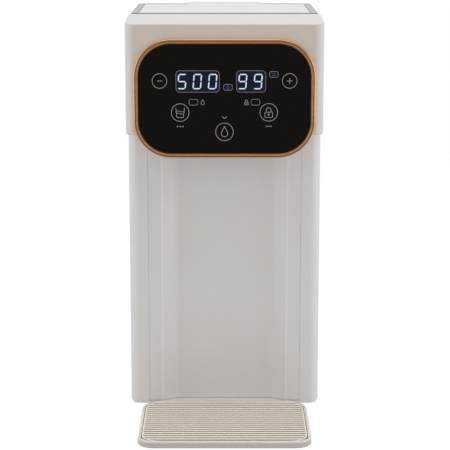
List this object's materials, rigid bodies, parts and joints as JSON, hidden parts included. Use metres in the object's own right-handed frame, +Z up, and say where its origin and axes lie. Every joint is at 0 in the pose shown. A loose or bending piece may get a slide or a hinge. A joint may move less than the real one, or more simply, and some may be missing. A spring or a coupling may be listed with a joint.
{
  "type": "countertop hot water dispenser",
  "caption": "Slim countertop hot-water dispenser: overhanging head with a copper-ringed glass touch panel, lift-out rear tank with hinged lid, and a slatted drip tray.",
  "frame": {"origin": "bottom centre of the whole part's box, on the surface that the feet stand on", "axes": "+Z up, front with the touch panel and drip tray towards -Y, +X to the right seen from the front"},
  "size_m": [0.18, 0.303, 0.3765],
  "materials": {
    "housing_beige": "fine moulded grain, warm light grey",
    "column_beige": "fine moulded grain, warm light grey",
    "lid_cream": "satin, pale",
    "tank_smoke": "smoke grey, slightly see-through",
    "trim_copper": "brushed copper tone",
    "touch_glass": "black printed glass, polished",
    "led_display": "dark filter with white digits",
    "circuit_board": "green solder mask",
    "base_grey": "dark grey, moulded",
    "black_rubber": "matte",
    "red_seal": "matte silicone",
    "clear_silicone": "milky silicone",
    "white_plastic": "natural moulding",
    "blue_plastic": "natural moulding",
    "black_plastic": "moulded",
    "heater_metal": "cast",
    "bright_steel": "bright",
    "sensor_brass": "machined",
    "tray_grey": "fine moulded grain",
    "grate_beige": "fine moulded grain"
  },
  "bodies": {
    "housing": {"main_shell": "housing_beige", "head_shell": "housing_beige", "nose_shell": "housing_beige", "tower_back": "housing_beige", "front_column": "column_beige", "trim_ring": "trim_copper", "touch_glass": "touch_glass", "volume_display": "led_display", "temperature_display": "led_display", "display_board": "circuit_board", "power_board": "circuit_board", "base_plate": "base_grey", "tank_platform": "base_grey", "rubber_feet": "black_rubber", "pump_mount": "black_rubber", "cord_gland": "black_rubber", "touch_pads": "black_rubber", "seat_seal": "red_seal", "outlet_hose": "clear_silicone", "inlet_hose": "clear_silicone", "pump_hose": "clear_silicone", "heater_hose": "clear_silicone", "steam_separator": "white_plastic", "flow_meter_body": "white_plastic", "thermal_cutouts": "white_plastic", "pump_body": "black_plastic", "heater_end_caps": "black_plastic", "power_components": "black_plastic", "reed_sensor": "black_plastic", "heater_body": "heater_metal", "nozzle": "bright_steel", "heater_bracket": "bright_steel", "housing_screws": "bright_steel", "base_screws": "bright_steel", "board_screws": "bright_steel", "temperature_sensor": "sensor_brass"},
    "tank": {"tank_body": "tank_smoke", "float_post": "white_plastic", "valve_guide": "white_plastic", "valve_spring": "bright_steel", "tank_filter": "white_plastic", "hinge_pin": "bright_steel"},
    "lid": {"tank_lid": "lid_cream", "lid_gasket": "clear_silicone"},
    "valve": {"valve_stem": "white_plastic", "valve_seal": "red_seal"},
    "float": {"level_float": "white_plastic", "float_magnet": "bright_steel"},
    "tray": {"drip_tray": "tray_grey"},
    "grate": {"drip_grate": "grate_beige"},
    "impeller": {"pump_rotor": "blue_plastic"},
    "turbine": {"flow_turbine": "blue_plastic"}
  },
  "joints": [
    {"name": "tank_lift", "type": "slide", "parent": "housing", "child": "tank", "axis": [0, 0, 1], "range_m": [0, 0.2]},
    {"name": "lid_hinge", "type": "hinge", "parent": "tank", "child": "lid", "pos_m": [0, 0.1445, 0.3715], "axis": [-1, 0, 0], "range_deg": [0, 100]},
    {"name": "valve_slide", "type": "slide", "parent": "tank", "child": "valve", "axis": [0, 0, 1], "range_m": [-0.0027, 0], "deforming": ["valve_spring"]},
    {"name": "float_slide", "type": "slide", "parent": "tank", "child": "float", "axis": [0, 0, 1], "range_m": [0, 0.025]},
    {"name": "tray_pull", "type": "slide", "parent": "housing", "child": "tray", "axis": [0, -1, 0], "range_m": [0, 0.13]},
    {"name": "grate_lift", "type": "slide", "parent": "tray", "child": "grate", "axis": [0, 0, 1], "range_m": [0, 0.05]},
    {"name": "impeller_spin", "type": "hinge", "parent": "housing", "child": "impeller", "pos_m": [0, 0.1115, 0.055], "axis": [0, 0, 1], "continuous": true},
    {"name": "turbine_spin", "type": "hinge", "parent": "housing", "child": "turbine", "pos_m": [0, 0.1115, 0.109], "axis": [0, 0, 1], "continuous": true}
  ],
  "couplings": [
    {"joint": "valve_slide", "follows": "tank_lift", "ratio": -0.0135}
  ]
}
